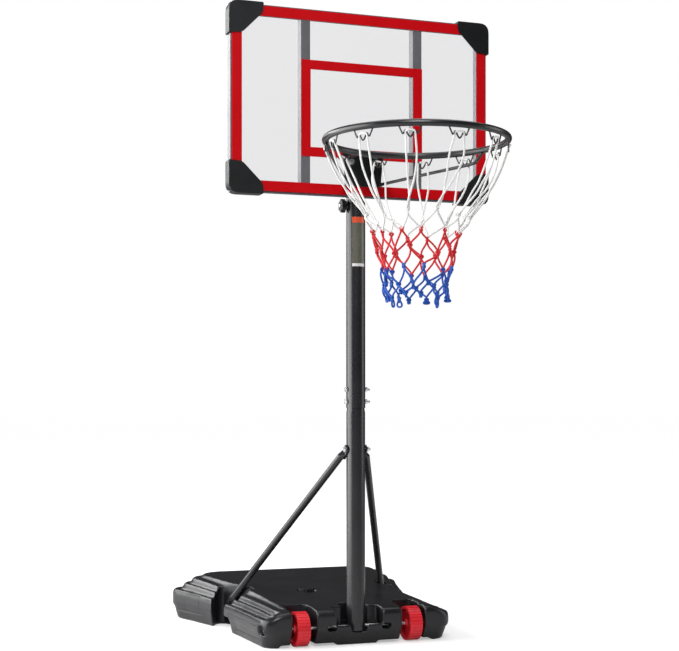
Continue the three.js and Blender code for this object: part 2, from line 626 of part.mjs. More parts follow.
// Round wire through a list of points.
function wire(points, r, sides, steps, tension = 0.2) {
  const knots = points.map((p) => new THREE.Vector3(...p));
  const path = new THREE.CatmullRomCurve3(knots, false, 'catmullrom', tension);
  const section = new THREE.Shape();
  for (let i = 0; i < sides; i += 1) {
    const angle = 2 * Math.PI * i / sides;
    section[i === 0 ? 'moveTo' : 'lineTo'](r * Math.cos(angle), r * Math.sin(angle));
  }
  return new THREE.ExtrudeGeometry(section, { steps, extrudePath: path, bevelEnabled: false });
}

// Ring with its two braces and the wire hooks welded under it.
function rimRing() {
  const ring = new THREE.TorusGeometry(RIM.r, RIM.rod, 12, 72).translate(0, RIM.y, RIM.z);
  let solid = toSolid(ring);
  for (const sign of [-1, 1]) {
    solid = solid.add(toSolid(wire(BRACE.points.map(([x, y, z]) => [sign * x, y, z]), BRACE.r, 8, 10)));
  }
  for (let i = 0; i < HOOK.count; i += 1) {
    const middle = THREE.MathUtils.degToRad(HOOK.start + i * 360 / HOOK.count);
    const bend = ([along, drop]) => {
      const angle = middle + along / RIM.r;
      return [RIM.r * Math.cos(angle), RIM.y + RIM.r * Math.sin(angle), RIM.z - drop];
    };
    const half = HOOK.half;
    const points = [[-half, 5], [-half * 0.5, 20], [0, HOOK.drop], [half * 0.5, 20], [half, 5]].map(bend);
    solid = solid.add(toSolid(wire(points, HOOK.r, 5, 6, 0.35)));
  }
  return solid;
}

place('rim_ring', toGeometry(rimRing()), MATERIAL.rim);

for (const sign of [-1, 1]) {
  const x = sign * RIM_BOLT.x;
  const z = RIM_BOLT.z;
  const hex = BOLT.flats / Math.sqrt(3);
  const washer = rod([x, plateFront - GAP - 1.2, z], [x, plateFront - GAP, z], 8, 24);
  const head = rod([x, plateFront - GAP - 1.2 - BOLT.head, z], [x, plateFront - GAP - 1, z], hex, 6);
  const shank = rod([x, plateFront - 1, z], [x, bracketFace + GAP + BOLT.nut + 3, z], BOLT.r, 16);
  place(`rim_bolt_${named(sign)}`, toGeometry(join(washer, head, shank)), MATERIAL.zinc);
  const nut = toSolid(rod([x, bracketFace + GAP, z], [x, bracketFace + GAP + BOLT.nut, z], hex, 6));
  const nutBore = rod([x, -70, z], [x, -20, z], BOLT.r + GAP, 16);
  place(`rim_nut_${named(sign)}`, toGeometry(cut(nut, nutBore)), MATERIAL.zinc);
}

// Net: an open funnel of cord, hanging from the hooks.
const outside = NET_PROFILE;
const inside = NET_PROFILE.map(([r, z]) => [r - NET_WALL, z]).reverse();
const net = lathe([...outside, ...inside, outside[0]].reverse(), 36);
net.translate(0, RIM.y, 0);
place('net', net, MATERIAL.net);

export default hoop;
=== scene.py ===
"""Looks of the portable basketball hoop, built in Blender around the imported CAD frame."""
import math
import random

import bpy
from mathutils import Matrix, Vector


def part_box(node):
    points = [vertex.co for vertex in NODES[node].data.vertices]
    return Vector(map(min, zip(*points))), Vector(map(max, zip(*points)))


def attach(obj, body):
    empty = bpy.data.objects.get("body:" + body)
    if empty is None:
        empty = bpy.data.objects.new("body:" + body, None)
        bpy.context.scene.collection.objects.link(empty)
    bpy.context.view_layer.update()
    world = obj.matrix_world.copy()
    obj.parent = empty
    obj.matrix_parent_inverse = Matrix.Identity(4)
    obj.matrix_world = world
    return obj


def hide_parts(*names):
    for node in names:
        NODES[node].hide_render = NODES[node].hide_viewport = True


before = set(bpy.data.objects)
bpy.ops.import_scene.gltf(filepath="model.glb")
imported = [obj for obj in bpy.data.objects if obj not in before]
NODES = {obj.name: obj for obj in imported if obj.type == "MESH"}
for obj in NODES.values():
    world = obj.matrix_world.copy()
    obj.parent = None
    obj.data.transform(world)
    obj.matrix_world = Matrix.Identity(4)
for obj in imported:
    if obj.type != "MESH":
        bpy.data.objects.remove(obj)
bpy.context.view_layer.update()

# ------------------------------------------------------------------ dimensions (metres)

ROOM_LIGHT = 0.06
FLOOR_HALF = 60
# The floor's own glow between two distances from the object.
FLOOR_REACH = (0.7, 4.0)
FLOOR_GLOW = (0.42, 0.95)
# Area lights: name, place, target, size, power in watts.
LIGHTS = [
    ("softbox", (-3.0, 0.9, 1.3), (0, 0, 0.8), (4.0, 3.2), 210),
    ("key", (-1.2, -3.6, 3.4), (0, 0, 0.9), (1.4, 1.4), 120),
    ("top", (0.2, 0.3, 3.4), (0, 0, 0), (2.4, 2.4), 40),
    ("fill", (3.2, -0.9, 1.4), (0, 0, 0.8), (1.6, 2.4), 22),
    ("backlight", (-2.4, 4.2, 2.6), (0, 0.2, 0.1), (2.6, 1.6), 75),
]
CAMERA = {"place": (-1.3044, -3.5177, 0.6289), "turn": -0.34373, "lens": 75.82, "shift": 0.115}

ring_low, ring_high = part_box("rim_ring")
ROD_RADIUS = 0.008
RING_RADIUS = (ring_high.x - ring_low.x) / 2 - ROD_RADIUS
RING_CENTRE = Vector((0, ring_low.y + RING_RADIUS + ROD_RADIUS, ring_high.z - ROD_RADIUS))
RING_STEPS = 120
BRACE_RADIUS = 0.004
# Right brace from the bracket's plate to the underside of the ring.
BRACE = [(0.047, -0.060, 1.197), (0.120, -0.203, 1.2075), (0.181, -0.322, 1.216),
         (0.192, -0.335, 1.224), (0.201, -0.345, 1.240)]
WELD_RADIUS = 0.0018
WELD_STEPS = 20
# The seam of the ring's rod: steps each way, turn per step, and its offset from the rod's middle.
SEAM_STEPS, SEAM_TURN, SEAM_OFFSET = 10, 0.011, 0.0065

HOOKS = 12
HOOK_START = math.radians(3.5)
HOOK_WIRE = 0.0019
# Half of a hook: (along the ring, below the ring's centre line).
HOOK_HALF = [(0.000, 0.0315), (0.0045, 0.027), (0.0088, 0.0185), (0.0105, 0.0165), (0.0125, 0.0185),
             (0.0150, 0.0230), (0.0175, 0.0235), (0.0195, 0.0195), (0.0235, 0.0110), (0.0260, 0.0050)]
# Half width of a cord loop in its hook, and how far below the ring's centre line it hangs.
LOOP_HANG = (0.0105, 0.0195)

CORD_RADIUS = 0.0024
# Half width between a loop's two runs where they reach the knot.
LOOP_CLOSED = 0.0031
LOOP_STEPS = 24
TAIL_STEPS = 16
# A knot pulls its cord thinner.
KNOT_CORD = 0.86 * CORD_RADIUS
KNOT_SIZE = 0.0017
KNOT_STEPS = 30
NET_SEED = 12
# Rows of knots: height, radius, shift in columns, cord below the row.
NET_ROWS = [
    (1.068, 0.124, 0.0, "white"),
    (1.029, 0.103, 0.5, "red"),
    (0.983, 0.092, 0.0, "red"),
    (0.940, 0.081, 0.5, "blue"),
    (0.906, 0.077, 0.0, "blue"),
    (0.879, 0.072, 0.5, "blue"),
]

TANK_VOXEL = 0.0024
TANK_ROUNDS = 14
# Fields in the tank's side walls: (front, back) and (low, high).
SIDE_FIELDS = [((0.020, 0.260), (0.020, 0.056)), ((0.455, 0.600), (0.026, 0.080))]
GROOVE_WIDTH = 0.0018
GROOVE_DEPTH = 0.0012

# Sticker on the pole: heights of its edges and half the angle that it covers.
LABEL = {"low": 0.987, "foot": 0.9945, "head": 1.101, "high": 1.116, "half_turn": math.radians(42)}
# Printed bands of the board: width of the border, and the shooter's rectangle.
BAND_OUTER = 0.0257
INNER_BOX = {"x": (0.1420, 0.1667), "low": (1.2610, 1.2850), "high": (1.4842, 1.5076)}

# ------------------------------------------------------------------ colours

TANK_BLACK = (0.009, 0.009, 0.011)
TRIM_BLACK = (0.006, 0.006, 0.007)
GUARD_BLACK = (0.006, 0.0065, 0.0075)
WHEEL_RED = (0.60, 0.012, 0.022)
POLE_BLACK = (0.014, 0.014, 0.016)
FRAME_GREY = (0.058, 0.054, 0.068)
RIM_BLACK = (0.011, 0.0115, 0.013)
ZINC_GREY = (0.8, 0.81, 0.83)
ZINC_CLOUDS = (0.70, 0.71, 0.73), (0.92, 0.93, 0.94)
LABEL_ORANGE, LABEL_WHITE = (0.75, 0.09, 0.03), (0.72, 0.72, 0.72)
LABEL_GREYS = (0.08, 0.08, 0.062), (0.14, 0.14, 0.11)
SHEET_GREY = (0.75, 0.75, 0.76)
SHEET_HAZE = (0.70, 0.70, 0.715), (0.80, 0.80, 0.81)
SHEET_TINT = (0.91, 0.91, 0.915)
INK_REDS = (0.47, 0.001, 0.004), (0.55, 0.002, 0.006)
CORD_COLOURS = {"white": (0.80, 0.80, 0.79), "red": (0.62, 0.012, 0.018), "blue": (0.002, 0.075, 0.42)}
NET_SLOTS = {colour: slot for slot, colour in enumerate(CORD_COLOURS)}


# ------------------------------------------------------------------ camera, floor and light

def make_camera():
    """Level camera in front and to the left, about as high as the middle of the pole."""
    data = bpy.data.cameras.new("camera")
    data.sensor_width = 36
    data.lens = CAMERA["lens"]
    data.shift_y = CAMERA["shift"]
    camera = bpy.data.objects.new("camera", data)
    camera.location = CAMERA["place"]
    camera.rotation_euler = (math.pi / 2, 0, CAMERA["turn"])
    bpy.context.scene.collection.objects.link(camera)
    bpy.context.scene.camera = camera


def area_light(name, place, target, size, power):
    """Soft rectangular light that the camera doesn't see."""
    data = bpy.data.lights.new(name, "AREA")
    data.shape = "RECTANGLE"
    data.size, data.size_y = size
    data.energy = power
    light = bpy.data.objects.new(name, data)
    light.location = place
    light.rotation_euler = (Vector(target) - Vector(place)).to_track_quat("-Z", "Y").to_euler()
    light.visible_camera = False
    bpy.context.scene.collection.objects.link(light)


def make_studio():
    """Five soft lights in a room that is white to the camera and dim to the object."""
    for light in LIGHTS:
        area_light(*light)
    bpy.context.scene.view_settings.view_transform = "Standard"
    world = bpy.data.worlds.new("studio")
    world.use_nodes = True
    nodes, links = world.node_tree.nodes, world.node_tree.links
    background = nodes["Background"]
    seen = nodes.new("ShaderNodeLightPath").outputs["Is Camera Ray"]
    level = nodes.new("ShaderNodeMapRange")
    level.inputs["To Min"].default_value = ROOM_LIGHT
    level.inputs["To Max"].default_value = 1.0
    links.new(seen, level.inputs["Value"])
    links.new(level.outputs["Result"], background.inputs["Strength"])
    background.inputs["Color"].default_value = (1, 1, 1, 1)
    bpy.context.scene.world = world


# ------------------------------------------------------------------ material helpers

class Look:
    """A material under construction: its node tree, its shader and shorthand for nodes."""

    def __init__(self, name, colour, roughness, **sockets):
        self.material = bpy.data.materials.new(name)
        self.material.use_nodes = True
        self.tree = self.material.node_tree
        self.shader = self.tree.nodes["Principled BSDF"]
        self.shader.inputs["Base Color"].default_value = (*colour, 1)
        self.shader.inputs["Roughness"].default_value = roughness
        for socket, value in sockets.items():
            self.shader.inputs[socket.replace("_", " ")].default_value = value
        self.place = self.tree.nodes.new("ShaderNodeTexCoord").outputs["Object"]
        self.normal = None

    def node(self, kind, inputs=(), **attributes):
        """A new shader node, with each input linked to a socket or set to a value."""
        made = self.tree.nodes.new(kind)
        for key, value in attributes.items():
            setattr(made, key, value)
        for socket, value in dict(inputs).items():
            if isinstance(value, bpy.types.NodeSocket):
                self.tree.links.new(value, made.inputs[socket])
            else:
                made.inputs[socket].default_value = value
        return made

    def math(self, operation, a, b=0.0, c=0.0):
        return self.node("ShaderNodeMath", {0: a, 1: b, 2: c}, operation=operation).outputs[0]

    def noise(self, scale, detail=3.0, stretch=(1, 1, 1)):
        """Cloudy noise fixed to the object, between 0 and 1."""
        mapping = self.node("ShaderNodeMapping", {"Vector": self.place, "Scale": stretch})
        inputs = {"Vector": mapping.outputs[0], "Scale": scale, "Detail": detail}
        return self.node("ShaderNodeTexNoise", inputs).outputs["Fac"]

    def range(self, value, low, high, to_low, to_high):
        inputs = {"Value": value, "From Min": low, "From Max": high, "To Min": to_low, "To Max": to_high}
        return self.node("ShaderNodeMapRange", inputs).outputs["Result"]

    def mix(self, share, first, second):
        made = self.node("ShaderNodeMix", {"Factor": share}, data_type="RGBA")
        for index, value in ((6, first), (7, second)):
            if isinstance(value, bpy.types.NodeSocket):
                self.tree.links.new(value, made.inputs[index])
            else:
                made.inputs[index].default_value = (*value, 1)
        return made.outputs[2]

    def use(self, socket, value):
        """Drives one socket of the shader."""
        self.tree.links.new(value, self.shader.inputs[socket])

    def split(self):
        """The surface point's own X, Y and Z."""
        return self.node("ShaderNodeSeparateXYZ", {0: self.place}).outputs

    def within(self, value, start, end):
        """1 where the value lies between start and end, else 0."""
        above = self.math("GREATER_THAN", value, start)
        return self.math("MULTIPLY", above, self.math("LESS_THAN", value, end))

    def bump(self, height, strength, depth):
        """Adds a relief on top of the ones that were given before."""
        inputs = {"Height": height, "Strength": strength, "Distance": depth}
        if self.normal:
            inputs["Normal"] = self.normal
        self.normal = self.node("ShaderNodeBump", inputs).outputs[0]
        self.use("Normal", self.normal)


def scaled(colour, factor):
    """A lighter or darker colour."""
    return tuple(min(1.0, c * factor) for c in colour)


def panel_grooves(look):
    """Thin moulded line round each flat field in the tank's side walls."""
    place = look.split()
    grooves = 0.0
    for (front, back), (low, high) in SIDE_FIELDS:
        along = look.math("ABSOLUTE", look.math("SUBTRACT", place["Y"], (front + back) / 2))
        up = look.math("ABSOLUTE", look.math("SUBTRACT", place["Z"], (low + high) / 2))
        edge = look.math("MAXIMUM", look.math("SUBTRACT", along, (back - front) / 2),
                         look.math("SUBTRACT", up, (high - low) / 2))
        line = look.range(look.math("ABSOLUTE", edge), 0.0, GROOVE_WIDTH, 1.0, 0.0)
        grooves = look.math("MAXIMUM", grooves, line)
    look.bump(look.math("SUBTRACT", 1.0, grooves), 1.0, GROOVE_DEPTH)


def moulded_plastic(name, colour, roughness, grain, depth, wear=1.6, shine=0.5, relief=None):
    """Plastic with a fine spark-eroded grain, uneven gloss and edges rubbed lighter."""
    look = Look(name, colour, roughness, Specular_IOR_Level=shine)
    cloud = look.noise(14, 4)
    body = look.mix(look.range(cloud, 0.35, 0.65, 0, 1), scaled(colour, 0.82), scaled(colour, 1.2))
    pointed = look.node("ShaderNodeNewGeometry").outputs["Pointiness"]
    rubbed = look.math("MULTIPLY", look.range(pointed, 0.53, 0.62, 0, 1), look.noise(60, 2))
    look.use("Base Color", look.mix(rubbed, body, scaled(colour, wear * 1.6)))
    look.use("Roughness", look.range(cloud, 0.3, 0.7, roughness - 0.04, roughness + 0.06))
    if relief:
        relief(look)
    look.bump(look.noise(grain, 2), 0.5, depth)
    return look.material


def plain_label(look, paint):
    """Sticker on the front of the pole: orange head, grey field and white foot, without print."""
    place = look.split()
    turn = look.math("ABSOLUTE", look.math("ARCTAN2", place["X"], look.math("MULTIPLY", place["Y"], -1.0)))
    inside = look.math("MULTIPLY", look.math("LESS_THAN", turn, LABEL["half_turn"]),
                       look.within(place["Z"], LABEL["low"], LABEL["high"]))
    cloud = look.noise(220, 3)
    field = look.mix(cloud, *LABEL_GREYS)
    head = look.math("GREATER_THAN", place["Z"], LABEL["head"])
    foot = look.math("LESS_THAN", place["Z"], LABEL["foot"])
    face = look.mix(foot, look.mix(head, field, LABEL_ORANGE), LABEL_WHITE)
    return look.mix(inside, paint, face)


def powder_coat(name, colour, roughness, label=False):
    """Sprayed paint on steel with the soft waviness of a baked powder."""
    look = Look(name, colour, roughness, Coat_Weight=0.15, Coat_Roughness=0.2)
    cloud = look.noise(9, 3)
    body = look.mix(look.range(cloud, 0.3, 0.7, 0, 1), scaled(colour, 0.88), scaled(colour, 1.14))
    look.use("Base Color", plain_label(look, body) if label else body)
    look.use("Roughness", look.range(cloud, 0.3, 0.7, roughness - 0.04, roughness + 0.06))
    look.bump(look.noise(700, 1.5), 0.35, 0.00008)
    return look.material


def zinc_plate(name):
    """Plated fasteners: bright metal with cloudy patches and fine turning marks."""
    look = Look(name, ZINC_GREY, 0.3, Metallic=0.85)
    cloud = look.noise(180, 4)
    look.use("Base Color", look.mix(cloud, *ZINC_CLOUDS))
    look.use("Roughness", look.range(cloud, 0.3, 0.7, 0.2, 0.42))
    look.bump(look.noise(900, 1, (1, 1, 8)), 0.3, 0.00005)
    return look.material


def net_cord(name, colour):
    """Braided polyester cord with painted shade in the grooves of its braid; the braid follows the cord's own
    length and turn.
    """
    look = Look(name, colour, 0.75, Sheen_Weight=0.1, Sheen_Roughness=0.4)
    split = look.node("ShaderNodeSeparateXYZ", {0: look.node("ShaderNodeUVMap").outputs[0]})
    along = look.math("MULTIPLY", split.outputs[0], 1400.0)
    around = look.math("MULTIPLY", split.outputs[1], 4 * math.pi)
    strands = [look.math("ABSOLUTE", look.math("SINE", look.math(way, along, around)))
               for way in ("ADD", "SUBTRACT")]
    braid = look.math("MAXIMUM", *strands)
    fibres = look.noise(400, 3)
    # Painted shade: the cord's colour darkens in the grooves between the braid's strands, and fibre noise
    # varies its tone.
    braid_shade_and_fibre_tone = look.math("MULTIPLY", braid, look.range(fibres, 0.2, 0.8, 0.7, 1.1))
    look.use("Base Color", look.mix(braid_shade_and_fibre_tone, scaled(colour, 0.62), scaled(colour, 1.05)))
    look.bump(braid, 0.6, 0.0004)
    return look.material


def printed_panel(name):
    """Clear sheet with the red bands printed on it: a border and the shooter's rectangle."""
    look = Look(name, SHEET_GREY, 0.12)
    low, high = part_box("board_panel")
    place = look.split()
    side = look.math("ABSOLUTE", place["X"])
    height = place["Z"]

    def either(first, *rest):
        for other in rest:
            first = look.math("MAXIMUM", first, other)
        return first

    border = either(
        look.math("GREATER_THAN", side, high.x - BAND_OUTER),
        look.math("LESS_THAN", height, low.z + BAND_OUTER),
        look.math("GREATER_THAN", height, high.z - BAND_OUTER),
    )
    inner, outer = INNER_BOX["x"]
    uprights = look.math("MULTIPLY", look.within(side, inner, outer),
                         look.within(height, INNER_BOX["low"][0], INNER_BOX["high"][1]))
    levels = either(look.within(height, *INNER_BOX["low"]), look.within(height, *INNER_BOX["high"]))
    levels = look.math("MULTIPLY", levels, look.math("LESS_THAN", side, outer))
    printed = either(border, uprights, levels)

    haze = look.noise(5, 3)
    clear = look.mix(haze, *SHEET_HAZE)
    ink = look.mix(look.noise(30, 3), *INK_REDS)
    look.use("Base Color", look.mix(printed, clear, ink))
    gloss = look.range(look.noise(12, 4), 0.3, 0.7, 0.1, 0.2)
    look.use("Roughness", look.math("ADD", gloss, look.math("MULTIPLY", printed, 0.25)))
    look.use("Specular IOR Level", look.range(printed, 0, 1, 0.5, 0.12))
    see_through = look.node("ShaderNodeBsdfTransparent", {"Color": (*SHEET_TINT, 1)})
    solid = look.range(printed, 0, 1, 0.07, 1.0)
    pane = look.node("ShaderNodeMixShader", {0: solid, 1: see_through.outputs[0], 2: look.shader.outputs[0]})
    output = look.tree.nodes["Material Output"]
    look.tree.links.new(pane.outputs[0], output.inputs["Surface"])
    return look.material


# ------------------------------------------------------------------ floor

def make_floor():
    """A pale studio floor that grows bright enough with distance to meet the backdrop."""
    mesh = bpy.data.meshes.new("floor")
    corners = [(x * FLOOR_HALF, y * FLOOR_HALF, 0) for x, y in ((-1, -1), (1, -1), (1, 1), (-1, 1))]
    mesh.from_pydata(corners, [], [(0, 1, 2, 3)])
    floor = bpy.data.objects.new("floor", mesh)
    bpy.context.scene.collection.objects.link(floor)
    look = Look("floor_white", (0.72, 0.72, 0.72), 0.9, Emission_Color=(1, 1, 1, 1))
    away = look.node("ShaderNodeVectorMath", {0: look.place}, operation="LENGTH").outputs["Value"]
    seen = look.node("ShaderNodeLightPath").outputs["Is Camera Ray"]
    look.use("Emission Strength", look.math("MULTIPLY", seen, look.range(away, *FLOOR_REACH, *FLOOR_GLOW)))
    mesh.materials.append(look.material)


# ------------------------------------------------------------------ mesh helpers

class Tubes:
    """Collects round tubes along paths into one mesh, with UVs in metres along and turns around."""

    def __init__(self):
        self.points, self.faces, self.uvs, self.slots = [], [], [], []

    def add(self, path, radius, sides=8, closed=False, slot=0):
        """Adds a tube; a closed one joins its end to its start, an open one gets two end caps."""
        path = [Vector(p) for p in path]
        rings = self._rings(path, radius, sides, closed)
        twist = self._twist(rings, sides) if closed else 0
        start = 0.0
        for i in range(len(path) if closed else len(path) - 1):
            following = (i + 1) % len(path)
            end = start + (path[following] - path[i]).length
            self._wall(rings[i], rings[following], twist if following == 0 else 0, (start, end), slot)
            start = end
        if not closed:
            self._face(rings[0][::-1], [(0, 0)] * sides, slot)
            self._face(rings[-1], [(0, 0)] * sides, slot)

    def _rings(self, path, radius, sides, closed):
        """Circles of points across the path, each turned as little as possible against the last."""
        rings = []
        normal = None
        for i, point in enumerate(path):
            before = path[i - 1] if closed or i > 0 else point
            after = path[(i + 1) % len(path)] if closed or i < len(path) - 1 else point
            tangent = (after - before).normalized()
            if normal is None:
                normal = tangent.orthogonal().normalized()
            normal = (normal - tangent * normal.dot(tangent)).normalized()
            across = tangent.cross(normal)
            first = len(self.points)
            for k in range(sides):
                angle = 2 * math.pi * k / sides
                self.points.append(point + radius * (math.cos(angle) * normal + math.sin(angle) * across))
            rings.append(list(range(first, first + sides)))
        return rings

    def _wall(self, this, following, shift, span, slot):
        """Band of quads between two circles, the second one turned by some corners."""
        sides = len(this)
        start, end = span
        for k in range(sides):
            quad = (this[k], this[(k + 1) % sides],
                    following[(k + 1 + shift) % sides], following[(k + shift) % sides])
            self._face(quad, [(start, k / sides), (start, (k + 1) / sides),
                              (end, (k + 1) / sides), (end, k / sides)], slot)

    def _twist(self, rings, sides):
        """How many corners the last ring is turned against the first one."""
        first, last = rings[0], rings[-1]
        gaps = [sum((self.points[last[k]] - self.points[first[(k + s) % sides]]).length for k in range(sides))
                for s in range(sides)]
        return gaps.index(min(gaps))

    def _face(self, corners, uvs, slot):
        self.faces.append(tuple(corners))
        self.uvs.extend(uvs)
        self.slots.append(slot)

    def build(self, name, materials, body):
        mesh = bpy.data.meshes.new(name)
        mesh.from_pydata(self.points, [], self.faces)
        layer = mesh.uv_layers.new(name="along")
        layer.data.foreach_set("uv", [c for uv in self.uvs for c in uv])
        for material in materials:
            mesh.materials.append(material)
        mesh.polygons.foreach_set("material_index", self.slots)
        mesh.shade_smooth()
        mesh.validate()
        piece = bpy.data.objects.new(name, mesh)
        bpy.context.scene.collection.objects.link(piece)
        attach(piece, body)
        return piece


def curve_through(points, steps):
    """Smooth path through points, with a number of steps between each two."""
    points = [Vector(p) for p in points]
    ends = [2 * points[0] - points[1], *points, 2 * points[-1] - points[-2]]
    path = []
    for i in range(1, len(ends) - 2):
        p0, p1, p2, p3 = ends[i - 1:i + 3]
        for s in range(steps):
            t = s / steps
            path.append(0.5 * (2 * p1 + (p2 - p0) * t + (2 * p0 - 5 * p1 + 4 * p2 - p3) * t * t
                               + (3 * p1 - p0 - 3 * p2 + p3) * t ** 3))
    return [*path, points[-1]]


def bezier(a, b, c, d, steps):
    """Cubic curve from a to d, which leaves towards b and arrives from c."""
    path = []
    for s in range(steps + 1):
        t = s / steps
        u = 1 - t
        path.append(u ** 3 * a + 3 * u * u * t * b + 3 * u * t * t * c + t ** 3 * d)
    return path


def soften(node, width, segments=3):
    """Rounds the sharp edges of a CAD node and shades it smooth."""
    piece = NODES[node]
    weld = piece.modifiers.new("one_skin", "WELD")
    weld.merge_threshold = 0.00002
    bevel = piece.modifiers.new("edge", "BEVEL")
    bevel.width = width
    bevel.segments = segments
    bevel.limit_method = "ANGLE"
    bevel.angle_limit = math.radians(35)
    weighted = piece.modifiers.new("shading", "WEIGHTED_NORMAL")
    weighted.mode = "FACE_AREA"
    piece.data.shade_smooth()


def mould(node, voxel, rounds):
    """Turns a CAD node into a moulded-looking skin with rounded edges all over."""
    piece = NODES[node]
    remesh = piece.modifiers.new("skin", "REMESH")
    remesh.mode = "VOXEL"
    remesh.voxel_size = voxel
    remesh.use_smooth_shade = True
    smooth = piece.modifiers.new("round", "SMOOTH")
    smooth.factor = 0.5
    smooth.iterations = rounds


def paint(material, *nodes):
    """Gives CAD nodes one material in place of their plain ones."""
    for node in nodes:
        NODES[node].data.materials.clear()
        NODES[node].data.materials.append(material)


# ------------------------------------------------------------------ rim, hooks and net

def on_ring(angle, along, down, outward=0.0):
    """Point near the ring: along it from an angle, below its centre line and out from it."""
    turned = angle + along / RING_RADIUS
    reach = RING_RADIUS + outward
    return RING_CENTRE + Vector((reach * math.cos(turned), reach * math.sin(turned), -down))


def hook_angles():
    """Where the hooks sit round the ring."""
    return [HOOK_START + i * 2 * math.pi / HOOKS for i in range(HOOKS)]


def add_weld(tubes, end, towards, radius):
    """Bead of weld round a rod where it meets its neighbour."""
    normal = (Vector(towards) - Vector(end)).normalized()
    across = normal.orthogonal().normalized()
    other = normal.cross(across)
    bead = []
    for i in range(WELD_STEPS):
        angle = 2 * math.pi * i / WELD_STEPS
        reach = radius * (1.05 + 0.06 * math.sin(7 * angle))
        bead.append(Vector(end) + reach * (math.cos(angle) * across + math.sin(angle) * other))
    tubes.add(bead, WELD_RADIUS, closed=True)


def make_rim(material):
    """Ring, two braces and the wire hooks as one weldment."""
    tubes = Tubes()
    circle = [on_ring(2 * math.pi * i / RING_STEPS, 0, 0) for i in range(RING_STEPS)]
    tubes.add(circle, ROD_RADIUS, sides=20, closed=True)
    for sign in (-1, 1):
        points = [(sign * x, y, z) for x, y, z in BRACE]
        tubes.add(curve_through(points, 8), BRACE_RADIUS, sides=12)
        add_weld(tubes, points[0], points[1], BRACE_RADIUS)
    for angle in hook_angles():
        left = [on_ring(angle, -along, down) for along, down in reversed(HOOK_HALF[1:])]
        right = [on_ring(angle, along, down) for along, down in HOOK_HALF]
        tubes.add(curve_through([*left, *right], 3), HOOK_WIRE, sides=8)
    # The rod's ends meet next to the board, and the seam shows on its upper outer side.
    seam = [on_ring(math.pi / 2 + i * SEAM_TURN, 0, -SEAM_OFFSET, SEAM_OFFSET)
            for i in range(-SEAM_STEPS, SEAM_STEPS + 1)]
    tubes.add(seam, WELD_RADIUS)
    rim = tubes.build("rim_ring_detail", [material], "hoop_head")
    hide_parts("rim_ring")


def net_knots(chance):
    """The knots of every row, a little uneven, as in a net that hangs loose."""
    rows = []
    for z, radius, shift, _ in NET_ROWS:
        row = []
        for i in range(HOOKS):
            angle = HOOK_START + (i + shift) * 2 * math.pi / HOOKS + chance.uniform(-0.11, 0.11)
            reach = radius + chance.uniform(-0.008, 0.006)
            lift = chance.uniform(-0.009, 0.008)
            row.append(Vector((reach * math.cos(angle), RING_CENTRE.y + reach * math.sin(angle), z + lift)))
        rows.append(row)
    return rows


def add_knot(tubes, place, chance, slot):
    """A pulled-tight overhand knot."""
    turn = chance.uniform(0, 2 * math.pi)
    lean = Vector((math.cos(turn), math.sin(turn), 0))
    side = Vector((-math.sin(turn), math.cos(turn), 0))
    path = []
    for i in range(KNOT_STEPS):
        t = 2 * math.pi * i / KNOT_STEPS
        u = math.sin(t) + 2 * math.sin(2 * t)
        v = math.cos(t) - 2 * math.cos(2 * t)
        w = -math.sin(3 * t)
        path.append(place + KNOT_SIZE * (u * lean + 1.25 * v * Vector((0, 0, 1)) + 1.1 * w * side))
    tubes.add(path, KNOT_CORD, sides=7, closed=True, slot=slot)


def add_top_loop(tubes, angle, knot, chance):
    """Loop of cord over a hook: its two runs spread below the hook and close up at the knot."""
    radial = Vector((math.cos(angle), math.sin(angle), 0))
    sideways = Vector((-radial.y, radial.x, 0))
    along, down = LOOP_HANG
    turns = chance.choice((-1, 1)) * chance.uniform(0.5, 1.1) * math.pi
    spread = chance.uniform(0.001, 0.009)
    sway = chance.uniform(-0.010, 0.010)
    start = on_ring(angle, 0, down)
    runs = []
    for sign in (-1, 1):
        run = []
        for i in range(LOOP_STEPS + 1):
            t = i / LOOP_STEPS
            bow = math.sin(math.pi * t)
            centre = start.lerp(knot, t) + bow * (0.012 * radial + sway * sideways)
            closing = max(0.0, min(1.0, (t - 0.25) / 0.7))
            wide = along + spread * math.sin(math.pi * min(1.0, t / 0.8))
            half = wide + (LOOP_CLOSED - wide) * closing * closing * (3 - 2 * closing)
            phase = turns * max(0.0, (t - 0.6) / 0.4)
            run.append(centre + sign * half * (math.cos(phase) * sideways + math.sin(phase) * radial))
        runs.append(run)
    bridge = [on_ring(angle, s * along, down - 0.004 * (1 - s * s), 0.004 * (1 - s * s))
              for s in (-0.6, 0.0, 0.6)]
    path = curve_through([*reversed(runs[0]), *bridge, *runs[1]], 2)
    tubes.add(path, CORD_RADIUS, sides=8, slot=NET_SLOTS["white"])


def add_strand(tubes, top, bottom, chance, slot):
    """One side of a mesh: it leaves each knot steeply and slackens in the middle."""
    drop = top.z - bottom.z
    centre = Vector((0, RING_CENTRE.y, 0))
    outward = ((top + bottom) / 2 - centre)
    outward.z = 0
    outward.normalize()
    sideways = Vector((-outward.y, outward.x, 0))
    slack = outward * chance.uniform(-0.006, 0.008) + sideways * chance.uniform(-0.006, 0.006)
    first = top + Vector((0, 0, -chance.uniform(0.2, 0.55) * drop)) + slack
    second = bottom + Vector((0, 0, chance.uniform(0.15, 0.5) * drop)) + slack
    tubes.add(bezier(top, first, second, bottom, 9), CORD_RADIUS, sides=8, slot=slot)


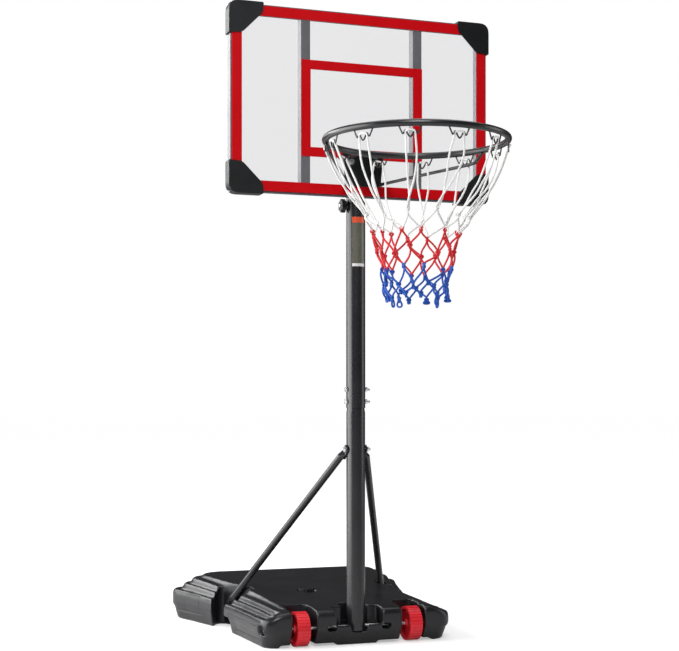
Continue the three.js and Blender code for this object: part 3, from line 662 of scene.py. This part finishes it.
def add_tail(tubes, knot, length, chance, slot):
    """Small loop of cord that hangs from a knot of the last row."""
    width = chance.choice((0.004, 0.005, 0.009))
    turn = chance.uniform(0, math.pi)
    across = Vector((math.cos(turn), math.sin(turn), 0))
    centre = Vector((0, RING_CENTRE.y, 0))
    inward = (centre - Vector((knot.x, knot.y, 0))).normalized()
    path = []
    for i in range(TAIL_STEPS + 1):
        t = i / TAIL_STEPS
        drop = length * math.sin(math.pi * t)
        swing = width * math.sin(2 * math.pi * t) * 0.8
        path.append(knot + across * swing + inward * 0.12 * drop - Vector((0, 0, drop)))
    tubes.add(path, CORD_RADIUS, sides=8, slot=slot)


def make_net(materials):
    """Top loops, rows of meshes and knots, and the loops that hang from the last row."""
    chance = random.Random(NET_SEED)
    tubes = Tubes()
    rows = net_knots(chance)
    for angle, knot in zip(hook_angles(), rows[0]):
        add_top_loop(tubes, angle, knot, chance)
    for (upper, lower), row in zip(zip(rows, rows[1:]), NET_ROWS):
        shift, colour = row[2:]
        for i, knot in enumerate(upper):
            neighbours = (i - 1, i) if shift == 0 else (i, (i + 1) % HOOKS)
            for j in neighbours:
                add_strand(tubes, knot, lower[j], chance, NET_SLOTS[colour])
    for row, (_, _, _, colour) in zip(rows, NET_ROWS):
        for knot in row:
            add_knot(tubes, knot, chance, NET_SLOTS[colour])
    for i, knot in enumerate(rows[-1]):
        length = chance.uniform(0.018, 0.024) if i % 3 == 0 else chance.uniform(0.006, 0.010)
        add_tail(tubes, knot, length, chance, NET_SLOTS["blue"])
    net = tubes.build("net_of_cord", materials, "hoop_head")
    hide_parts("net")


# ------------------------------------------------------------------ the object

def nodes_named(*beginnings):
    """The CAD nodes whose names start with one of these words."""
    return [node for node in NODES if node.startswith(beginnings)]


def dress_plastic():
    """Tank, small black trim, corner guards and wheels."""
    tank = moulded_plastic("tank_black", TANK_BLACK, 0.32, 900, 0.00010, relief=panel_grooves)
    trim = moulded_plastic("trim_black", TRIM_BLACK, 0.45, 1400, 0.00006, shine=0.3)
    guard = moulded_plastic("guard_black", GUARD_BLACK, 0.45, 1200, 0.00008, shine=0.3)
    wheel = moulded_plastic("wheel_red", WHEEL_RED, 0.38, 1100, 0.00005, wear=1.1)
    mould("base_tank", TANK_VOXEL, TANK_ROUNDS)
    paint(tank, "base_tank")
    for node in ("filler_cap", "lock_knob", "pole_top_cap"):
        soften(node, 0.0009)
        paint(trim, node)
    for node in nodes_named("corner_cap"):
        soften(node, 0.0022, 4)
        paint(guard, node)
    for node in nodes_named("wheel"):
        soften(node, 0.0007, 2)
        paint(wheel, node)


def dress_stand():
    """Pole tubes, struts and their feet's bolts, and the bracket behind the board."""
    pole = powder_coat("pole_black", POLE_BLACK, 0.28)
    for node in ("lower_pole", "upper_pole", "inner_pole", "strut_left", "strut_right"):
        soften(node, 0.0006, 2)
        paint(pole, node)
    paint(powder_coat("pole_black_with_label", POLE_BLACK, 0.28, label=True), "upper_pole")
    soften("rear_bracket", 0.0012)
    paint(pole, "rear_bracket", *nodes_named("strut_foot_bolt"))


def dress_board():
    """Grey frame and bars, and the printed clear sheet."""
    grey = powder_coat("frame_grey", FRAME_GREY, 0.42)
    for node in nodes_named("frame_rail", "board_bar"):
        soften(node, 0.0018)
        paint(grey, node)
    soften("board_panel", 0.0006, 2)
    paint(printed_panel("panel_printed"), "board_panel")


def dress_fasteners():
    """Bolts, nuts, axle and clamp screw of bright zinc."""
    zinc = zinc_plate("zinc")
    for node in (n for n in NODES if "bolt" in n or "nut" in n or n.startswith("axle") or n == "lock_screw"):
        soften(node, 0.0003, 2)
        paint(zinc, node)


def dress_rim():
    """Rim bracket, ring, braces and hooks in one black paint."""
    rim = powder_coat("rim_black", RIM_BLACK, 0.3)
    soften("rim_bracket", 0.0010)
    paint(rim, "rim_bracket")
    make_rim(rim)


make_camera()
make_studio()
make_floor()
dress_plastic()
dress_fasteners()
dress_stand()
dress_board()
dress_rim()
make_net([net_cord(f"cord_{name}", colour) for name, colour in CORD_COLOURS.items()])
